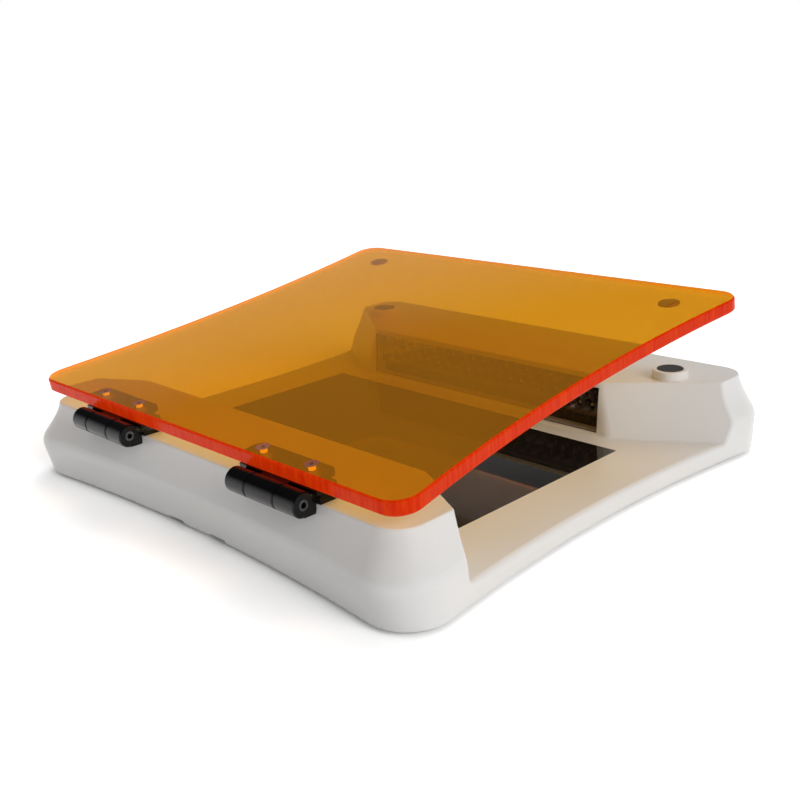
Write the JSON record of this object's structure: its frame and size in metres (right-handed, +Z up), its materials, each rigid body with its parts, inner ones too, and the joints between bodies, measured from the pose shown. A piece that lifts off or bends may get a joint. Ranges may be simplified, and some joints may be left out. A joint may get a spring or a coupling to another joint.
{
  "type": "blue light transilluminator",
  "caption": "Bench light box with a hinged amber lid, an open-ended viewing trough and light modules in two side towers.",
  "frame": {"origin": "on the resting plane, level with the undersides of the feet, midway between the two ends and 141.5 mm in front of the rear edge of the deck", "axes": "+Z up, +Y towards the hinge side, -Y towards the operator, +X along the hinge line to the operator's right"},
  "size_m": [0.3122, 0.2977, 0.0919],
  "materials": {
    "white_housing": "satin gloss moulding",
    "black_cover": "fine grained",
    "dark_glass": "polished dark glass",
    "black_plate": "matte",
    "smoked_pane": "polished filter pane",
    "reflector": "dark metallised cups",
    "circuit_board": "black solder mask",
    "heat_sink": "extruded",
    "magnet": "matte black disc",
    "hinge_black": "semi-gloss black coat",
    "pin_steel": "blackened steel",
    "screw_steel": "plated",
    "amber_acrylic": "polished transparent amber",
    "catch_disc": "nickel plated",
    "foot_rubber": "matte",
    "switch_black": "gloss",
    "button_cap": "satin",
    "nut_metal": "plated"
  },
  "bodies": {
    "base": {"upper_housing": "white_housing", "bottom_cover": "black_cover", "viewing_glass": "dark_glass", "dark_backplate": "black_plate", "window_pane_front": "smoked_pane", "window_pane_rear": "smoked_pane", "lens_strip_front": "reflector", "lens_strip_rear": "reflector", "light_board_front": "circuit_board", "light_board_rear": "circuit_board", "heat_sink_front": "heat_sink", "heat_sink_rear": "heat_sink", "stop_magnets": "magnet", "hinge_base_left": "hinge_black", "hinge_base_right": "hinge_black", "hinge_pin_left": "pin_steel", "hinge_pin_right": "pin_steel", "hinge_base_screws": "screw_steel", "rubber_feet": "foot_rubber", "cover_screws": "screw_steel", "switch_body": "switch_black", "switch_nut": "nut_metal", "supply_inlet": "switch_black", "inlet_nut": "nut_metal", "driver_board": "circuit_board", "driver_screws": "screw_steel"},
    "lid": {"lid_panel": "amber_acrylic", "hinge_leaf_left": "hinge_black", "hinge_leaf_right": "hinge_black", "lid_screws": "screw_steel", "lid_catch_discs": "catch_disc"},
    "button": {"power_button": "button_cap"}
  },
  "joints": [
    {"name": "lid_hinge", "type": "hinge", "parent": "base", "child": "lid", "pos_m": [0, 0.1484, 0.0449], "axis": [-1, 0, 0], "range_deg": [-7.4, 97.6]},
    {"name": "button_press", "type": "slide", "parent": "base", "child": "button", "axis": [0, 1, 0], "range_m": [0, 0.0015], "stiffness_N_per_m": 1200, "springref_m": -0.0004}
  ]
}
